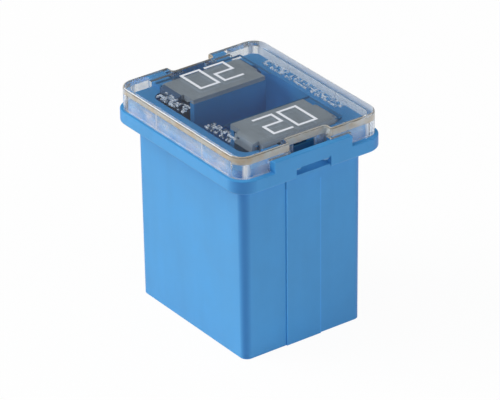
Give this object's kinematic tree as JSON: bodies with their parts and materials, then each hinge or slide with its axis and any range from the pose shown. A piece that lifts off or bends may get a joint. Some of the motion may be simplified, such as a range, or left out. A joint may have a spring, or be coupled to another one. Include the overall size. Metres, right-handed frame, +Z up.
{
  "type": "female blade fuse",
  "caption": "Tall moulded box fuse with two blade sockets in its base, a wide collar with latch slots and a clear lid clipped over metal test pads.",
  "frame": {"origin": "centre of the base face, midway between the two blade sockets", "axes": "+X along the length, from one blade socket to the other; +Y across the width; +Z up from the base to the lid"},
  "size_m": [0.0222, 0.0184, 0.024],
  "materials": {
    "housing_plastic": "moulded blue plastic with a soft sheen",
    "clear_plastic": "polished, water-clear",
    "plated_copper": "bright tin plate",
    "tin": "dull, as cast",
    "spring_steel": "bright rolled strip"
  },
  "bodies": {
    "root": {"housing": "housing_plastic", "lid": "clear_plastic", "fuse_element": "plated_copper", "tin_pellet": "tin", "right_spring_clip": "spring_steel", "left_spring_clip": "spring_steel"}
  },
  "joints": []
}
